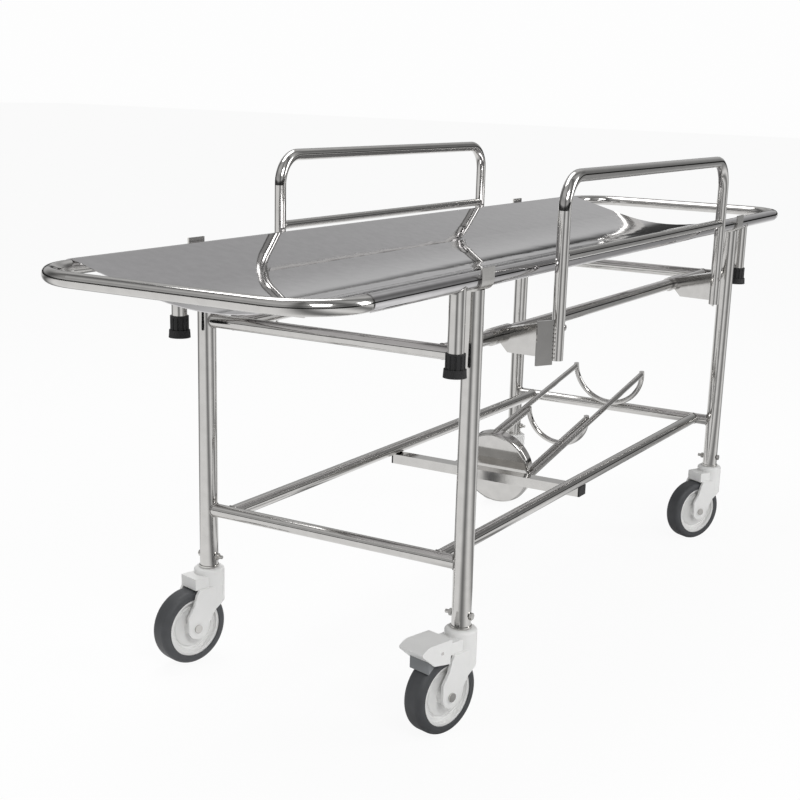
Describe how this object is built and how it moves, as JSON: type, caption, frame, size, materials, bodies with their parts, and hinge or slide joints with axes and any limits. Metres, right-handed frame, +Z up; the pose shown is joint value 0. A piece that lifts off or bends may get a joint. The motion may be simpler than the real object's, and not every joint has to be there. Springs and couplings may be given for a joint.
{
  "type": "stretcher trolley",
  "caption": "tubular steel stretcher trolley with lift-off troughed stretcher, fold-down side rails, tilted gas bottle cradle and braked swivel casters",
  "frame": {"origin": "on the floor, under the middle of the stretcher loop", "axes": "+Z up from the floor; +X along the stretcher toward the end away from the cup's closed side; the near side rail is on -Y"},
  "size_m": [1.904, 0.5873, 0.8242],
  "materials": {
    "polished_tube": "polished stainless tube",
    "polished_sheet": "mirror polished stainless sheet",
    "bright_steel": "bright plated steel",
    "black_rubber": "matt black rubber",
    "tyre_grey": "smooth dark grey tread",
    "white_plastic": "satin white moulding",
    "pad_grey": "mid grey block"
  },
  "bodies": {
    "undercarriage": {"leg_near_left": "polished_tube", "leg_near_right": "polished_tube", "leg_far_left": "polished_tube", "leg_far_right": "polished_tube", "crossbar_low_left": "polished_tube", "crossbar_high_left": "polished_tube", "crossbar_low_right": "polished_tube", "crossbar_high_right": "polished_tube", "long_bar_near": "polished_tube", "rail_pivot_bar_near": "polished_tube", "long_bar_far": "polished_tube", "rail_pivot_bar_far": "polished_tube", "saddle_brackets": "bright_steel", "cradle_cross_tube": "polished_tube", "cross_tube_caps": "black_rubber", "cradle_rods": "polished_tube", "cradle_hoops": "polished_tube", "bottle_cup": "polished_tube", "caster_stems": "bright_steel", "stem_bolts": "bright_steel", "stem_nuts": "bright_steel"},
    "stretcher": {"stretcher_loop": "polished_tube", "stretcher_sheet": "polished_sheet", "stretcher_foot_tubes": "polished_tube", "foot_ferrules": "black_rubber"},
    "side_rail_near": {"rail_hoop_near": "polished_tube", "rail_low_bar_near": "polished_tube", "rail_sleeves_near": "polished_tube", "rail_arms_near": "polished_tube", "rail_bracket_plates_near": "polished_tube"},
    "side_rail_far": {"rail_hoop_far": "polished_tube", "rail_low_bar_far": "polished_tube", "rail_sleeves_far": "polished_tube", "rail_arms_far": "polished_tube", "rail_bracket_plates_far": "polished_tube"},
    "caster_near_left": {"caster_housing_near_left": "white_plastic", "caster_axle_near_left": "bright_steel", "brake_pin_near_left": "bright_steel"},
    "wheel_near_left": {"wheel_hub_near_left": "white_plastic", "wheel_tyre_near_left": "tyre_grey"},
    "pedal_near_left": {"brake_pedal_near_left": "white_plastic", "brake_pad_near_left": "pad_grey"},
    "caster_near_right": {"caster_housing_near_right": "white_plastic", "caster_axle_near_right": "bright_steel"},
    "wheel_near_right": {"wheel_hub_near_right": "white_plastic", "wheel_tyre_near_right": "tyre_grey"},
    "caster_far_left": {"caster_housing_far_left": "white_plastic", "caster_axle_far_left": "bright_steel"},
    "wheel_far_left": {"wheel_hub_far_left": "white_plastic", "wheel_tyre_far_left": "tyre_grey"},
    "caster_far_right": {"caster_housing_far_right": "white_plastic", "caster_axle_far_right": "bright_steel", "brake_pin_far_right": "bright_steel"},
    "wheel_far_right": {"wheel_hub_far_right": "white_plastic", "wheel_tyre_far_right": "tyre_grey"},
    "pedal_far_right": {"brake_pedal_far_right": "white_plastic", "brake_pad_far_right": "pad_grey"}
  },
  "joints": [
    {"name": "stretcher_lift", "type": "slide", "parent": "undercarriage", "child": "stretcher", "axis": [0, 0, 1], "range_m": [0, 0.25]},
    {"name": "rail_near_fold", "type": "hinge", "parent": "undercarriage", "child": "side_rail_near", "pos_m": [0.013, -0.1886, 0.5686], "axis": [1, 0, 0], "range_deg": [0, 150]},
    {"name": "rail_far_fold", "type": "hinge", "parent": "undercarriage", "child": "side_rail_far", "pos_m": [0.069, 0.1886, 0.5686], "axis": [-1, 0, 0], "range_deg": [0, 150]},
    {"name": "swivel_near_left", "type": "hinge", "parent": "undercarriage", "child": "caster_near_left", "pos_m": [-0.5557, -0.238, 0.156], "axis": [0, 0, 1], "continuous": true},
    {"name": "roll_near_left", "type": "hinge", "parent": "caster_near_left", "child": "wheel_near_left", "pos_m": [-0.59588, -0.22761, 0.0625], "axis": [-0.2504, -0.9681, 0], "continuous": true},
    {"name": "brake_near_left", "type": "hinge", "parent": "caster_near_left", "child": "pedal_near_left", "pos_m": [-0.61766, -0.22198, 0.138], "axis": [-0.2504, -0.9681, 0], "range_deg": [0, 4]},
    {"name": "swivel_near_right", "type": "hinge", "parent": "undercarriage", "child": "caster_near_right", "pos_m": [0.5777, -0.238, 0.156], "axis": [0, 0, 1], "continuous": true},
    {"name": "roll_near_right", "type": "hinge", "parent": "caster_near_right", "child": "wheel_near_right", "pos_m": [0.54069, -0.21922, 0.0625], "axis": [-0.4524, -0.8918, 0], "continuous": true},
    {"name": "swivel_far_left", "type": "hinge", "parent": "undercarriage", "child": "caster_far_left", "pos_m": [-0.5557, 0.238, 0.156], "axis": [0, 0, 1], "continuous": true},
    {"name": "roll_far_left", "type": "hinge", "parent": "caster_far_left", "child": "wheel_far_left", "pos_m": [-0.59581, 0.24867, 0.0625], "axis": [-0.2571, -0.9664, 0], "continuous": true},
    {"name": "swivel_far_right", "type": "hinge", "parent": "undercarriage", "child": "caster_far_right", "pos_m": [0.5777, 0.238, 0.156], "axis": [0, 0, 1], "continuous": true},
    {"name": "roll_far_right", "type": "hinge", "parent": "caster_far_right", "child": "wheel_far_right", "pos_m": [0.5387, 0.25219, 0.0625], "axis": [-0.342, -0.9397, 0], "continuous": true},
    {"name": "brake_far_right", "type": "hinge", "parent": "caster_far_right", "child": "pedal_far_right", "pos_m": [0.51756, 0.25989, 0.138], "axis": [-0.342, -0.9397, 0], "range_deg": [0, 4]}
  ]
}
